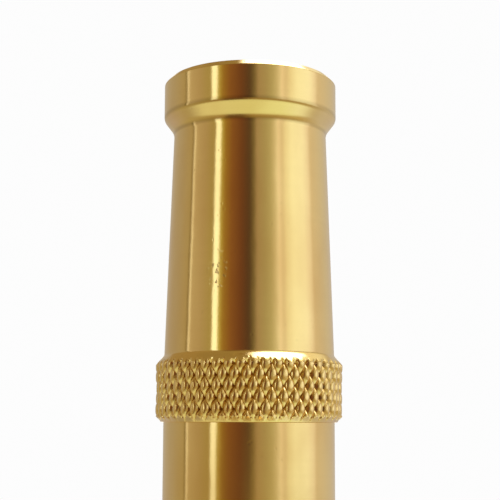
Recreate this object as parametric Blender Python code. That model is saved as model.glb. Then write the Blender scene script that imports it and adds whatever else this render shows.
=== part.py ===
"""Twist-barrel brass hose nozzle with a ball-race swivel coupling, at rest with the barrel screwed fully home.

The nozzle stands on its hose end: the origin is the centre of the coupling's rear face and +Z points to the spray end.
Turning the barrel runs it along the stem's right-hand drive thread, which opens the gap between its seat and the cone.
Every dimension below is in millimetres; MM turns it into Blender's metres.
"""

import math

import bmesh
import bpy
from mathutils import Vector

MM = 0.001
WELD = 1e-6
OUTSIDE_SEGMENTS = 48
INSIDE_SEGMENTS = 32

# Driving dimensions
LENGTH = 101.6
RUNNING_GAP = 0.2
DRIVE_LEAD = 2.5
DRIVE_TURNS = 2
TRAVEL = DRIVE_LEAD * DRIVE_TURNS
KNURL_ANGLE = math.radians(30)
KNURL_DEPTH = 0.85

# Barrel, outside
LIP_RADIUS = 13.07
LIP_LENGTH = 6.15
NECK_RADIUS = 11.53
NECK_Z = 93.3
TAPER_RADIUS = 12.6
TAPER_Z = 60.5
TAIL_RADIUS = 12.66
TAIL_Z = 28.0
BAND_PEAK_RADIUS = 13.87
BAND_COUNT = 48
BAND_Z = 50.3
BAND_ROWS = 6

# Barrel, inside
MOUTH_RADIUS = 10.6
ORIFICE_RADIUS = 4.5
ORIFICE_TOP_Z = 88.6
ORIFICE_Z = 87.0
CHAMBER_RADIUS = 8.8
SEAL_GROOVE_RADIUS = 11.0
SEAL_GROOVE_Z = (56.2, 60.0)
DRIVE_MAJOR_RADIUS = 10.4
DRIVE_DEPTH = 1.0
DRIVE_NUT_Z = (38.0, 49.0)
DRIVE_RELIEF_TOP_Z = 52.0
TAIL_BORE_RADIUS = 10.8
STOP_GROOVE_RADIUS = 11.6
STOP_RING_Z = (32.1, 33.4)

# Stem
NECK_TUBE_RADIUS = 8.3
SEAL_LAND_RADIUS = CHAMBER_RADIUS - RUNNING_GAP
FRONT_TUBE_RADIUS = 6.6
FRONT_TUBE_Z = 68.0
STEM_FRONT_Z = 80.6
STEM_TAIL_Z = 15.0
STEM_BORE_RADIUS = 6.0
FRONT_BORE_RADIUS = 4.9
FRONT_BORE_Z = 65.0
COLLAR_RADIUS = 12.5
COLLAR_Z = (22.6, 26.0)
DRIVE_SCREW_Z = (STOP_RING_Z[1] + TRAVEL + 0.5, 46.5)
PORT_COUNT = 6
PORT_RADIUS = 2.0
PORT_Z = 72.5

# Valve cone
CONE_FLANGE_RADIUS = 6.8
CONE_SEAT_GAP = 0.5
CONE_TIP_Z = 91.4
CONE_GROOVE_Z = (83.6, 85.6)
CONE_GROOVE_RADIUS = 4.75
CONE_SEAL_RADIUS = 5.62
CONE_SEAL_THICKNESS = 1.5

# Swivel coupling with a 3/4 inch, 11.5 threads per inch hose thread
NUT_TOP_Z = 22.0
NUT_RIM_RADIUS = 16.3
NUT_PEAK_RADIUS = 16.7
NUT_COUNT = 56
NUT_BAND_Z = 3.8
NUT_BAND_ROWS = 6
NUT_COLLAR_RADIUS = 14.2
HOSE_MAJOR_RADIUS = 13.62
HOSE_MINOR_RADIUS = 12.19
HOSE_PITCH = 25.4 / 11.5
HOSE_THREAD_Z = (1.2, 10.6)
WASHER_CHAMBER_RADIUS = 13.9
WASHER_CHAMBER_Z = (11.0, 15.1)
WASHER_RADII = (8.0, 13.5)
WASHER_Z = (11.9, 14.8)

# Ball race
BALL_COUNT = 22
BALL_RADIUS = 1.5
RACE_RADIUS = 11.1
RACE_Z = 18.8
RACE_GROOVE_RADIUS = 1.7
RACE_GAP = 0.2
PLUG_RADIUS = 1.6
PLUG_DIRECTION = math.radians(55)

# Inlet strainer
STRAINER_RADIUS = 7.7
STRAINER_Z = (12.6, 14.4)
STRAINER_WEB_Z = (13.2, 13.8)
STRAINER_HOLE_RADIUS = 0.95
STRAINER_HOLE_SPACING = 2.6


def clear_scene():
    for obj in list(bpy.data.objects):
        bpy.data.objects.remove(obj)


def make_material(name, colour, metallic, roughness):
    material = bpy.data.materials.new(name)
    material.use_nodes = True
    shader = material.node_tree.nodes["Principled BSDF"]
    shader.inputs["Base Color"].default_value = (*colour, 1)
    shader.inputs["Metallic"].default_value = metallic
    shader.inputs["Roughness"].default_value = roughness
    return material


def make_frame(name):
    """An empty on the nozzle's axis, which carries the pieces that move together."""
    frame = bpy.data.objects.new(name, None)
    bpy.context.scene.collection.objects.link(frame)
    return frame


def finish_piece(name, bm, material, parent, sharp_degrees=28):
    """Closes the mesh's seams and makes it a named, smooth-shaded object."""
    bmesh.ops.remove_doubles(bm, verts=bm.verts, dist=WELD)
    bmesh.ops.dissolve_degenerate(bm, edges=bm.edges, dist=WELD)
    bmesh.ops.recalc_face_normals(bm, faces=bm.faces)
    mesh = bpy.data.meshes.new(name)
    bm.to_mesh(mesh)
    bm.free()
    mesh.materials.append(material)
    mesh.shade_smooth()
    mesh.set_sharp_from_angle(angle=math.radians(sharp_degrees))
    obj = bpy.data.objects.new(name, mesh)
    bpy.context.scene.collection.objects.link(obj)
    obj.parent = parent
    return obj


def point_at(radius, angle, z):
    return Vector((radius * math.cos(angle), radius * math.sin(angle), z)) * MM


def ring(bm, radius, z, segments):
    """A circle of vertices, or one vertex on the axis."""
    if radius == 0:
        return [bm.verts.new(point_at(0, 0, z))]
    step = math.tau / segments
    return [bm.verts.new(point_at(radius, i * step, z)) for i in range(segments)]


def join_rings(bm, first, second):
    """Fills between two rings, whose vertex counts may differ."""
    if len(first) == len(second):
        for i in range(len(first)):
            j = (i + 1) % len(first)
            bm.faces.new((first[i], first[j], second[j], second[i]))
        return
    fine, coarse = (first, second) if len(first) > len(second) else (second, first)
    nearest = [round(i * len(coarse) / len(fine)) for i in range(len(fine) + 1)]
    for i in range(len(fine)):
        here, following = nearest[i] % len(coarse), nearest[i + 1] % len(coarse)
        bm.faces.new((fine[i], fine[(i + 1) % len(fine)], coarse[here]))
        if here != following:
            bm.faces.new((fine[(i + 1) % len(fine)], coarse[following], coarse[here]))


def knurl_row_height(peak_radius, count):
    """Half a diamond's height, from its half width and the angle of the grooves."""
    return math.pi * peak_radius / count / math.tan(KNURL_ANGLE)


def knurl(bm, z_start, peak_radius, count, rows):
    """A diamond knurl: in each row peaks and groove crossings alternate, and the next row is staggered."""
    columns = 2 * count
    height = knurl_row_height(peak_radius, count)
    valley = peak_radius - KNURL_DEPTH
    grid = []
    for row in range(rows + 1):
        at_edge = row in (0, rows)
        radii = [valley if at_edge or (column + row) % 2 else peak_radius for column in range(columns)]
        z = z_start + row * height
        grid.append([bm.verts.new(point_at(radii[c], c * math.tau / columns, z)) for c in range(columns)])
    for row in range(rows):
        for c in range(columns):
            d = (c + 1) % columns
            low_left, low_right, high_right, high_left = grid[row][c], grid[row][d], grid[row + 1][d], grid[row + 1][c]
            if (c + row) % 2:
                bm.faces.new((low_left, low_right, high_right))
                bm.faces.new((low_left, high_right, high_left))
            else:
                bm.faces.new((low_left, low_right, high_left))
                bm.faces.new((low_right, high_right, high_left))
    return grid[0], grid[-1]


def thread(bm, root_radius, crest_radius, z_range, pitch, segments, phase=0.0):
    """A right-hand thread between two plain ends. Its rows run along the helix and are held level at both ends,
    where the ridge fades out, so that it meets the turned rings there."""
    low, high = z_range
    share_root, share_flank = 0.42, 0.14
    marks = ((0.0, False), (share_root, False), (share_root + share_flank, True), (1 - share_flank, True))
    turns = math.ceil((high - low) / pitch) + 2
    fade = 0.6 * pitch
    rows = []
    for turn in range(-2, turns):
        for mark, on_crest in marks:
            row = []
            for i in range(segments):
                z = low + pitch * (turn + mark + phase + i / segments)
                z = min(max(z, low), high)
                share = min(1, (z - low) / fade, (high - z) / fade) if on_crest else 0
                radius = root_radius + share * (crest_radius - root_radius)
                row.append(bm.verts.new(point_at(radius, i * math.tau / segments, z)))
            rows.append(row)
    for j in range(len(rows) - 1):
        for i in range(segments - 1):
            bm.faces.new((rows[j][i], rows[j][i + 1], rows[j + 1][i + 1], rows[j + 1][i]))
        turned_on = j + len(marks)
        if turned_on + 1 < len(rows):
            last = segments - 1
            bm.faces.new((rows[j][last], rows[turned_on][0], rows[turned_on + 1][0], rows[j + 1][last]))


def arc(centre, radius, start_degrees, end_degrees, steps):
    """Points (radius, z) along an arc of a profile."""
    found = []
    for i in range(steps + 1):
        angle = math.radians(start_degrees + (end_degrees - start_degrees) * i / steps)
        found.append((centre[0] + radius * math.cos(angle), centre[1] + radius * math.sin(angle)))
    return found


def turn_profile(bm, profile, segments):
    """Turns an open profile about Z and returns its first and last rings."""
    rings = [ring(bm, radius, z, segments) for radius, z in profile]
    for first, second in zip(rings, rings[1:]):
        join_rings(bm, first, second)
    return rings[0], rings[-1]


def cutter(name, bm):
    """A helper that a Boolean reads and that isn't a piece of the nozzle."""
    bmesh.ops.recalc_face_normals(bm, faces=bm.faces)
    mesh = bpy.data.meshes.new(name)
    bm.to_mesh(mesh)
    bm.free()
    obj = bpy.data.objects.new(name, mesh)
    bpy.context.scene.collection.objects.link(obj)
    obj.hide_render = True
    obj.display_type = "WIRE"
    return obj


def cut(obj, tool):
    modifier = obj.modifiers.new(tool.name, "BOOLEAN")
    modifier.operation = "DIFFERENCE"
    modifier.solver = "EXACT"
    modifier.object = tool


def add_prism(bm, radius, start, end, sides):
    """A closed prism from one point to another."""
    axis = end - start
    matrix = axis.to_track_quat("Z", "Y").to_matrix().to_4x4()
    matrix.translation = (start + end) / 2
    bmesh.ops.create_cone(
        bm, cap_ends=True, segments=sides, radius1=radius * MM, radius2=radius * MM, depth=axis.length, matrix=matrix
    )


def race_groove(wall_radius):
    """The half-round groove that the balls run in, from its top down, in a wall inside or outside the ball centres."""
    offset = wall_radius - RACE_RADIUS
    reach = math.degrees(math.acos(offset / RACE_GROOVE_RADIUS))
    end = 360 - reach if offset < 0 else -reach
    return arc((RACE_RADIUS, RACE_Z), RACE_GROOVE_RADIUS, reach, end, 6)


def make_barrel(material, parent):
    """The twist sleeve: lip, tapered body, knurled grip band and plain tail outside, spray mouth to tail bore inside."""
    bm = bmesh.new()
    outside_tail = [(TAIL_RADIUS - 0.4, TAIL_Z), (TAIL_RADIUS, TAIL_Z + 0.4), (TAIL_RADIUS, BAND_Z - 0.15)]
    tail_end, below_band = turn_profile(bm, outside_tail, OUTSIDE_SEGMENTS)
    band_low, band_high = knurl(bm, BAND_Z, BAND_PEAK_RADIUS, BAND_COUNT, BAND_ROWS)
    lip_z = LENGTH - LIP_LENGTH
    outside_front = [
        (TAPER_RADIUS, TAPER_Z),
        (NECK_RADIUS, NECK_Z),
        (NECK_RADIUS + 0.25, NECK_Z + 0.55),
        (LIP_RADIUS - 0.2, lip_z - 0.35),
        (LIP_RADIUS, lip_z),
        (LIP_RADIUS, LENGTH - 0.35),
        (LIP_RADIUS - 0.35, LENGTH),
    ]
    above_band, lip_face = turn_profile(bm, outside_front, OUTSIDE_SEGMENTS)
    join_rings(bm, below_band, band_low)
    join_rings(bm, band_high, above_band)

    bell = [
        (MOUTH_RADIUS, LENGTH),
        (MOUTH_RADIUS - 0.4, LENGTH - 0.4),
        (MOUTH_RADIUS - 0.6, LENGTH - 3.0),
        (8.4, LENGTH - 6.6),
        (6.4, LENGTH - 9.8),
        (ORIFICE_RADIUS + 0.5, LENGTH - 12.0),
    ]
    seat_z = ORIFICE_Z - (CHAMBER_RADIUS - ORIFICE_RADIUS)
    groove_low, groove_high = SEAL_GROOVE_Z
    nut_low, nut_high = DRIVE_NUT_Z
    inside_front = [
        *bell,
        (ORIFICE_RADIUS, ORIFICE_TOP_Z),
        (ORIFICE_RADIUS, ORIFICE_Z),
        (CHAMBER_RADIUS, seat_z),
        (CHAMBER_RADIUS, groove_high),
        (SEAL_GROOVE_RADIUS, groove_high),
        (SEAL_GROOVE_RADIUS, groove_low),
        (CHAMBER_RADIUS, groove_low),
        (CHAMBER_RADIUS, DRIVE_RELIEF_TOP_Z + 0.8),
        (DRIVE_MAJOR_RADIUS, DRIVE_RELIEF_TOP_Z),
        (DRIVE_MAJOR_RADIUS, nut_high),
    ]
    mouth, _ = turn_profile(bm, inside_front, INSIDE_SEGMENTS)
    thread(bm, DRIVE_MAJOR_RADIUS, DRIVE_MAJOR_RADIUS - DRIVE_DEPTH, DRIVE_NUT_Z, DRIVE_LEAD, INSIDE_SEGMENTS)
    ring_low, ring_high = STOP_RING_Z
    inside_tail = [
        (DRIVE_MAJOR_RADIUS, nut_low),
        (TAIL_BORE_RADIUS, nut_low - 0.4),
        (TAIL_BORE_RADIUS, ring_high + 0.15),
        (STOP_GROOVE_RADIUS, ring_high + 0.15),
        (STOP_GROOVE_RADIUS, ring_low - 0.15),
        (TAIL_BORE_RADIUS, ring_low - 0.15),
        (TAIL_BORE_RADIUS, TAIL_Z + 0.6),
        (TAIL_BORE_RADIUS + 0.6, TAIL_Z),
    ]
    _, tail_mouth = turn_profile(bm, inside_tail, INSIDE_SEGMENTS)
    join_rings(bm, lip_face, mouth)
    join_rings(bm, tail_mouth, tail_end)
    return finish_piece("barrel", bm, material, parent)


def make_stem(material, parent):
    """The fixed inner tube: swivel tail, collar, drive thread, seal land and ported front tube."""
    bm = bmesh.new()
    tail_radius = RACE_RADIUS - RACE_GAP
    collar_low, collar_high = COLLAR_Z
    screw_low, screw_high = DRIVE_SCREW_Z
    root_radius = DRIVE_MAJOR_RADIUS - RUNNING_GAP - DRIVE_DEPTH
    behind_thread = [
        (tail_radius - 0.3, STEM_TAIL_Z),
        (tail_radius, STEM_TAIL_Z + 0.3),
        *reversed(race_groove(tail_radius)),
        (tail_radius, collar_low),
        (COLLAR_RADIUS - 0.3, collar_low),
        (COLLAR_RADIUS, collar_low + 0.3),
        (COLLAR_RADIUS, collar_high - 0.4),
        (COLLAR_RADIUS - 0.4, collar_high),
        (NECK_TUBE_RADIUS + 0.6, collar_high),
        (NECK_TUBE_RADIUS, collar_high + 0.6),
        (NECK_TUBE_RADIUS, screw_low - 0.4),
        (root_radius, screw_low - 0.4),
        (root_radius, screw_low),
    ]
    tail_face, _ = turn_profile(bm, behind_thread, INSIDE_SEGMENTS)
    thread(bm, root_radius, root_radius + DRIVE_DEPTH, DRIVE_SCREW_Z, DRIVE_LEAD, INSIDE_SEGMENTS,
           phase=thread_phase(DRIVE_NUT_Z[0], screw_low))
    ahead_of_thread = [
        (root_radius, screw_high),
        (root_radius, screw_high + 0.4),
        (SEAL_LAND_RADIUS, screw_high + 1.0),
        (SEAL_LAND_RADIUS, FRONT_TUBE_Z - 1.6),
        (FRONT_TUBE_RADIUS + 0.8, FRONT_TUBE_Z - 0.6),
        (FRONT_TUBE_RADIUS, FRONT_TUBE_Z),
        (FRONT_TUBE_RADIUS, STEM_FRONT_Z - 0.3),
        (FRONT_TUBE_RADIUS - 0.3, STEM_FRONT_Z),
    ]
    _, front_face = turn_profile(bm, ahead_of_thread, INSIDE_SEGMENTS)
    waterway = [
        (FRONT_BORE_RADIUS, STEM_FRONT_Z),
        (FRONT_BORE_RADIUS, FRONT_BORE_Z),
        (STEM_BORE_RADIUS, FRONT_BORE_Z - 1.2),
        (STEM_BORE_RADIUS, STEM_TAIL_Z + 2.0),
        (STEM_BORE_RADIUS + 1.6, STEM_TAIL_Z),
    ]
    bore_front, bore_tail = turn_profile(bm, waterway, INSIDE_SEGMENTS)
    join_rings(bm, front_face, bore_front)
    join_rings(bm, bore_tail, tail_face)
    stem = finish_piece("stem", bm, material, parent)

    tool = bmesh.new()
    for i in range(PORT_COUNT // 2):
        angle = (i + 0.25) * math.tau / PORT_COUNT
        reach = FRONT_TUBE_RADIUS + 2
        add_prism(tool, PORT_RADIUS, point_at(-reach, angle, PORT_Z), point_at(reach, angle, PORT_Z), 10)
        bmesh.ops.recalc_face_normals(tool, faces=tool.faces)
    ports = cutter("port_drill", tool)
    cut(stem, ports)
    stem.modifiers[0].use_self = True
    return stem


def thread_phase(nut_start, screw_start):
    """Puts the stem's ridge midway between the barrel's ridges, counted from the start of each thread."""
    return ((nut_start - screw_start) / DRIVE_LEAD + 0.5) % 1


def make_valve_cone(material, parent):
    """The plug in the stem's front: threaded shank, flange, seal groove, cone and flared spray pin."""
    line = ORIFICE_Z + ORIFICE_RADIUS - CONE_SEAT_GAP
    groove_low, groove_high = CONE_GROOVE_Z
    pin_radius = ORIFICE_RADIUS - 0.6
    shank_radius = FRONT_BORE_RADIUS - RUNNING_GAP
    profile = [
        (0, 76.4),
        (shank_radius - 0.5, 76.4),
        (shank_radius, 76.9),
        (shank_radius, STEM_FRONT_Z + 0.2),
        (CONE_FLANGE_RADIUS, STEM_FRONT_Z + 0.2),
        (CONE_FLANGE_RADIUS, groove_low - 0.3),
        (CONE_FLANGE_RADIUS - 0.3, groove_low),
        (CONE_GROOVE_RADIUS, groove_low),
        (CONE_GROOVE_RADIUS, groove_high),
        (line - groove_high, groove_high),
        (pin_radius, line - pin_radius),
        (3.2, line - 2.4),
        (3.2, CONE_TIP_Z - 1.3),
        (pin_radius, CONE_TIP_Z - 0.5),
        (pin_radius - 0.4, CONE_TIP_Z),
        (0, CONE_TIP_Z),
    ]
    bm = bmesh.new()
    turn_profile(bm, profile, INSIDE_SEGMENTS)
    return finish_piece("valve_cone", bm, material, parent)


def make_o_ring(name, centre_radius, z, thickness, material, parent):
    bm = bmesh.new()
    section = arc((centre_radius, z), thickness / 2, 0, 315, 7)
    first, last = turn_profile(bm, section, INSIDE_SEGMENTS)
    join_rings(bm, last, first)
    return finish_piece(name, bm, material, parent, sharp_degrees=60)


def make_flat_ring(name, radii, z_range, material, parent):
    """A ring of rectangular section with its outer edges broken."""
    inner, outer = radii
    low, high = z_range
    edge = 0.12
    section = [
        (inner, low),
        (outer - edge, low),
        (outer, low + edge),
        (outer, high - edge),
        (outer - edge, high),
        (inner, high),
    ]
    bm = bmesh.new()
    first, last = turn_profile(bm, section, INSIDE_SEGMENTS)
    join_rings(bm, last, first)
    return finish_piece(name, bm, material, parent)


def make_stop_ring(material, parent):
    """A split flat ring in the barrel's tail groove. It meets the step below the stem's thread at full opening."""
    inner, outer = NECK_TUBE_RADIUS + 0.3, STOP_GROOVE_RADIUS - 0.15
    low, high = STOP_RING_Z
    gap = math.radians(24)
    steps = 26
    bm = bmesh.new()
    sections = []
    for i in range(steps + 1):
        angle = gap / 2 + (math.tau - gap) * i / steps
        corners = ((inner, low), (outer, low), (outer, high), (inner, high))
        sections.append([bm.verts.new(point_at(radius, angle, z)) for radius, z in corners])
    for first, second in zip(sections, sections[1:]):
        join_rings(bm, first, second)
    bm.faces.new(sections[0])
    bm.faces.new(sections[-1])
    return finish_piece("stop_ring", bm, material, parent)


def make_swivel_nut(material, parent):
    """The knurled coupling: rim, grip band and race collar outside, hose thread, washer chamber and race bore inside."""
    bm = bmesh.new()
    valley = NUT_PEAK_RADIUS - KNURL_DEPTH
    rim = [
        (NUT_RIM_RADIUS - 0.8, 0.0),
        (NUT_RIM_RADIUS, 0.8),
        (NUT_RIM_RADIUS, 2.6),
        (valley - 0.3, 3.0),
        (valley - 0.3, NUT_BAND_Z - 0.3),
    ]
    rear_edge, below_band = turn_profile(bm, rim, NUT_COUNT)
    band_low, band_high = knurl(bm, NUT_BAND_Z, NUT_PEAK_RADIUS, NUT_COUNT, NUT_BAND_ROWS)
    band_top = NUT_BAND_Z + NUT_BAND_ROWS * knurl_row_height(NUT_PEAK_RADIUS, NUT_COUNT)
    collar = [
        (valley - 0.3, band_top + 0.3),
        (NUT_COLLAR_RADIUS, band_top + 3.3),
        (NUT_COLLAR_RADIUS, NUT_TOP_Z - 0.5),
        (NUT_COLLAR_RADIUS - 0.5, NUT_TOP_Z),
    ]
    above_band, front_edge = turn_profile(bm, collar, NUT_COUNT)
    join_rings(bm, below_band, band_low)
    join_rings(bm, band_high, above_band)

    bore_radius = RACE_RADIUS + RACE_GAP
    chamber_low, chamber_high = WASHER_CHAMBER_Z
    thread_low, thread_high = HOSE_THREAD_Z
    inside_front = [
        (bore_radius + 0.4, NUT_TOP_Z),
        (bore_radius, NUT_TOP_Z - 0.4),
        *race_groove(bore_radius),
        (bore_radius, chamber_high),
        (WASHER_CHAMBER_RADIUS, chamber_high),
        (WASHER_CHAMBER_RADIUS, chamber_low),
        (HOSE_MAJOR_RADIUS, thread_high),
    ]
    front_mouth, _ = turn_profile(bm, inside_front, INSIDE_SEGMENTS)
    thread(bm, HOSE_MAJOR_RADIUS, HOSE_MINOR_RADIUS, HOSE_THREAD_Z, HOSE_PITCH, INSIDE_SEGMENTS)
    entry = [(HOSE_MAJOR_RADIUS, thread_low), (HOSE_MAJOR_RADIUS + 0.5, 0.0)]
    _, rear_mouth = turn_profile(bm, entry, INSIDE_SEGMENTS)
    join_rings(bm, front_edge, front_mouth)
    join_rings(bm, rear_mouth, rear_edge)
    nut = finish_piece("swivel_nut", bm, material, parent)

    tool = bmesh.new()
    hole_radius = PLUG_RADIUS + 0.15
    add_prism(tool, hole_radius, point_at(RACE_RADIUS, PLUG_DIRECTION, RACE_Z),
              point_at(NUT_COLLAR_RADIUS + 2, PLUG_DIRECTION, RACE_Z), 12)
    cut(nut, cutter("plug_hole_drill", tool))
    return nut


def make_race_plug(material, parent):
    """The slotted plug that closes the hole through which the balls are loaded."""
    bm = bmesh.new()
    inner_end = RACE_RADIUS + BALL_RADIUS + 0.15
    outer_end = NUT_COLLAR_RADIUS - 0.2
    add_prism(bm, PLUG_RADIUS, point_at(inner_end, PLUG_DIRECTION, RACE_Z),
              point_at(outer_end, PLUG_DIRECTION, RACE_Z), 12)
    plug = finish_piece("race_plug", bm, material, parent)

    tool = bmesh.new()
    bmesh.ops.create_cube(tool, size=MM)
    bmesh.ops.scale(tool, vec=(1.2, 0.5, 2 * PLUG_RADIUS + 1), verts=tool.verts)
    slot = cutter("plug_slot_saw", tool)
    slot.location = point_at(outer_end, PLUG_DIRECTION, RACE_Z)
    slot.rotation_euler = (0, 0, PLUG_DIRECTION)
    cut(plug, slot)
    return plug


def make_balls(material, parent):
    mesh = None
    for i in range(BALL_COUNT):
        name = f"race_ball_{i + 1:02d}"
        if mesh is None:
            bm = bmesh.new()
            bmesh.ops.create_icosphere(bm, subdivisions=2, radius=BALL_RADIUS * MM)
            ball = finish_piece(name, bm, material, parent, sharp_degrees=60)
            mesh = ball.data
        else:
            ball = bpy.data.objects.new(name, mesh)
            bpy.context.scene.collection.objects.link(ball)
            ball.parent = parent
        ball.location = point_at(RACE_RADIUS, i * math.tau / BALL_COUNT, RACE_Z)


def make_strainer(material, parent):
    """A perforated inlet disc with a raised rim, held inside the hose washer."""
    rim_width = 0.9
    low, high = STRAINER_Z
    web_low, web_high = STRAINER_WEB_Z
    profile = [
        (0, web_low),
        (STRAINER_RADIUS - rim_width, web_low),
        (STRAINER_RADIUS - rim_width, low),
        (STRAINER_RADIUS, low),
        (STRAINER_RADIUS, high),
        (STRAINER_RADIUS - rim_width, high),
        (STRAINER_RADIUS - rim_width, web_high),
        (0, web_high),
    ]
    bm = bmesh.new()
    turn_profile(bm, profile, 24)
    strainer = finish_piece("strainer", bm, material, parent)

    tool = bmesh.new()
    rings_of_holes = 2
    for a in range(-rings_of_holes, rings_of_holes + 1):
        for b in range(-rings_of_holes, rings_of_holes + 1):
            if abs(a + b) > rings_of_holes:
                continue
            x = (a + b / 2) * STRAINER_HOLE_SPACING
            y = b * math.sqrt(3) / 2 * STRAINER_HOLE_SPACING
            start = Vector((x, y, web_low - 1)) * MM
            end = Vector((x, y, web_high + 1)) * MM
            add_prism(tool, STRAINER_HOLE_RADIUS, start, end, 6)
    cut(strainer, cutter("strainer_punch", tool))
    return strainer


def main():
    clear_scene()
    brass = make_material("brass", (0.80, 0.58, 0.24), 1.0, 0.22)
    steel = make_material("stainless_steel", (0.62, 0.62, 0.60), 1.0, 0.25)
    rubber = make_material("black_rubber", (0.02, 0.02, 0.02), 0.0, 0.7)
    ptfe = make_material("white_ptfe", (0.85, 0.85, 0.82), 0.0, 0.5)

    stem_frame = make_frame("stem_frame")
    seal_frame = make_frame("seal_frame")
    barrel_frame = make_frame("barrel_frame")
    ball_frame = make_frame("ball_frame")
    nut_frame = make_frame("nut_frame")
    seal_frame.parent = stem_frame
    barrel_frame.parent = seal_frame
    ball_frame.parent = stem_frame
    nut_frame.parent = stem_frame

    make_stem(brass, stem_frame)
    make_valve_cone(brass, stem_frame)
    cone_seal_z = sum(CONE_GROOVE_Z) / 2
    make_o_ring("cone_o_ring", CONE_SEAL_RADIUS, cone_seal_z, CONE_SEAL_THICKNESS, rubber, stem_frame)

    seal_low, seal_high = SEAL_GROOVE_Z
    backup_height = 0.9
    seal_inner = SEAL_LAND_RADIUS + 0.1
    seal_outer = SEAL_GROOVE_RADIUS - 0.15
    make_flat_ring("backup_ring", (seal_inner, seal_outer), (seal_low + 0.2, seal_low + 0.2 + backup_height),
                   ptfe, seal_frame)
    seal_thickness = seal_outer - seal_inner
    seal_z = seal_high - 0.2 - seal_thickness / 2
    make_o_ring("barrel_o_ring", (seal_inner + seal_outer) / 2, seal_z, seal_thickness, rubber, seal_frame)

    make_barrel(brass, barrel_frame)
    make_stop_ring(steel, barrel_frame)

    make_balls(steel, ball_frame)

    make_swivel_nut(brass, nut_frame)
    make_race_plug(steel, nut_frame)
    make_flat_ring("hose_washer", WASHER_RADII, WASHER_Z, rubber, nut_frame)
    make_strainer(steel, nut_frame)


main()
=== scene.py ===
"""Studio scene of the brass twist nozzle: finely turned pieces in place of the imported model's coarse ones,
procedural materials, a plain floor, soft studio light and the camera.

Lengths are in millimetres, as on a workshop drawing, and MM turns them into Blender's metres.
"""

import math

import bmesh
import bpy
import numpy as np
from mathutils import Matrix, Vector


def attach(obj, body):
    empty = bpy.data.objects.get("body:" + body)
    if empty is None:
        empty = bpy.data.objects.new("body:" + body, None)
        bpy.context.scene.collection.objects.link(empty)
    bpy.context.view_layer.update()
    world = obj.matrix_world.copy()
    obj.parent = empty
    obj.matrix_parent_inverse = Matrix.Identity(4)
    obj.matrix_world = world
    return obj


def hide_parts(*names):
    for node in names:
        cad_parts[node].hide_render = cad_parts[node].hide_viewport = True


MM = 0.001
WELD_MM = 1e-4
SHARP_DEGREES = 35

# Facets round the axis of what isn't as fine as a knurl
INSIDE_SEGMENTS = 192
RING_SEGMENTS = 160
TORUS_SEGMENTS = 128
CONE_SEGMENTS = 96
DRILL_SEGMENTS = 64
PORT_SEGMENTS = 40
BALL_SEGMENTS = 32

# Facets round a section
TORUS_SIDES = 16
WIRE_SIDES = 6
GROOVE_STEPS = 16

# A fillet takes at most FILLET_SHARE of each side that it joins. Beyond each of its ends comes a support
# point, which keeps smooth shading on the arc.
FILLET_STEPS = 5
FILLET_SHARE = 0.42
SUPPORT_MM = 0.06
SUPPORT_SHARE = 0.05

# Each diamond of a knurl is KNURL_STEPS columns wide and as many rows high. Its two sets of grooves run
# KNURL_ANGLE either side of the axis, and the set that leans right going up is deeper. Between them each
# diamond swells to a rounded tip: the higher KNURL_POWER, the broader the tip.
KNURL_STEPS = 12
KNURL_ANGLE = math.radians(30)
KNURL_DEPTHS = (0.48, 0.37)
KNURL_POWER = 2.7

# The wheels cut some grooves deeper than others, by up to KNURL_UNEVENNESS of their depth, and nothing is
# cut deeper than KNURL_ROOT. Handling has worn up to KNURL_WEAR off the teeth. A sine varies both, and
# GROOVE_TURN and TOOTH_TURN are how far it turns, in radians, from one groove or tooth to the next. A tooth's
# number is its place in one set of grooves times TOOTH_STRIDE, plus its place in the other.
KNURL_UNEVENNESS = 0.10
KNURL_ROOT = 0.70
KNURL_WEAR = 0.14
GROOVE_TURN = 7.1
TOOTH_TURN = 2.3
TOOTH_STRIDE = 5

# How the teeth run out into the band's turned edges, and the least distance between two rows of a knurl
RUNOUT_RISE = 0.03
RUNOUT_BLEND = 0.12
LEAST_ROW = 0.05

# A thread's ridge: places along its pitch, each with its share of the ridge's height. At both ends the ridge
# fades out over THREAD_FADE of a pitch.
THREAD_RIDGE = (
    (0.0, 0), (0.38, 0), (0.43, 0.04), (0.55, 0.94), (0.58, 1), (0.84, 1), (0.87, 0.94), (0.99, 0.04),
)
THREAD_FADE = 0.6

# Sizes that several pieces share
LENGTH = 101.6
DRIVE_LEAD = 2.5
DRIVE_LOW = 38.0
DRIVE_HIGH = 49.0
RACE_RADIUS = 11.1
RACE_HEIGHT = 18.8
RACE_GROOVE = 1.7
BALL_RADIUS = 1.5
PLUG_ANGLE = math.radians(55)
PLUG_FACE = 14.0


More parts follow.
